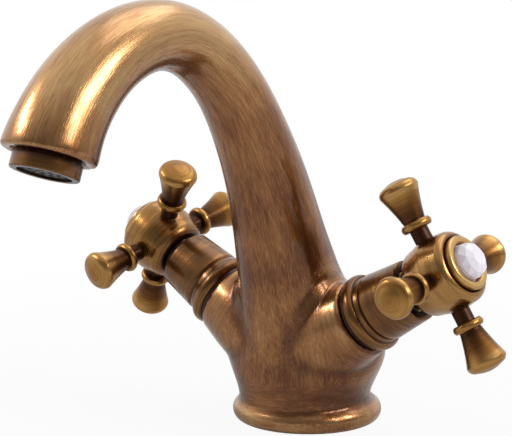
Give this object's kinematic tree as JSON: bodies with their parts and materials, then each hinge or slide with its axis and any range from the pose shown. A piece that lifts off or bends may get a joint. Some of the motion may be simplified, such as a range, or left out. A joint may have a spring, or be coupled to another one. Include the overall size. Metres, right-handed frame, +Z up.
{
  "type": "cross handle tap",
  "caption": "Deck-mounted basin mixer: a swan-neck spout on a round foot, with cross handles on slanted valves at both sides.",
  "frame": {"origin": "middle of the foot on the deck plane, on the axis of the fixing stud", "axes": "+Z up from the deck; the spout reaches towards -Y; the hot valve points to -X and the cold valve to +X"},
  "size_m": [0.1663, 0.1727, 0.1526],
  "materials": {
    "antique_brass": "brushed antique brass with brown patina under clear lacquer",
    "bright_brass": "plain turned brass",
    "stainless": "stainless steel",
    "rubber": "black sealing rubber",
    "ceramic": "lapped white ceramic",
    "aerator_plastic": "moulded dark plastic",
    "index_white": "pale lilac enamelled disc",
    "crystal": "clear cut crystal with a lilac tint"
  },
  "bodies": {
    "body": {"aerator_housing": "antique_brass", "aerator_insert": "aerator_plastic", "aerator_screen": "aerator_plastic", "aerator_washer": "rubber", "base_seal": "rubber", "left_bonnet": "antique_brass", "left_cartridge_body": "bright_brass", "left_lower_disc": "ceramic", "left_seat_seal": "rubber", "left_trim_ring": "antique_brass", "right_bonnet": "antique_brass", "right_cartridge_body": "bright_brass", "right_lower_disc": "ceramic", "right_seat_seal": "rubber", "right_trim_ring": "antique_brass", "tap_body": "antique_brass"},
    "left_handle": {"left_spindle": "bright_brass", "left_spindle_seals": "rubber", "left_circlip": "stainless", "left_upper_disc": "ceramic", "left_handle_hub": "antique_brass", "left_arm_up": "antique_brass", "left_arm_back": "antique_brass", "left_arm_down": "antique_brass", "left_arm_front": "antique_brass", "left_bezel": "antique_brass", "left_index_disc": "index_white", "left_crystal": "crystal", "left_handle_screw": "stainless"},
    "right_handle": {"right_spindle": "bright_brass", "right_spindle_seals": "rubber", "right_circlip": "stainless", "right_upper_disc": "ceramic", "right_handle_hub": "antique_brass", "right_arm_up": "antique_brass", "right_arm_back": "antique_brass", "right_arm_down": "antique_brass", "right_arm_front": "antique_brass", "right_bezel": "antique_brass", "right_index_disc": "index_white", "right_crystal": "crystal", "right_handle_screw": "stainless"}
  },
  "joints": [
    {"name": "hot_handle_turn", "type": "hinge", "parent": "body", "child": "left_handle", "pos_m": [-0.06107, -0.0078, 0.06023], "axis": [-0.8674, 0, 0.4976], "range_deg": [0, 90]},
    {"name": "cold_handle_turn", "type": "hinge", "parent": "body", "child": "right_handle", "pos_m": [0.06107, -0.0078, 0.06023], "axis": [-0.8674, 0, -0.4976], "range_deg": [0, 90]}
  ]
}
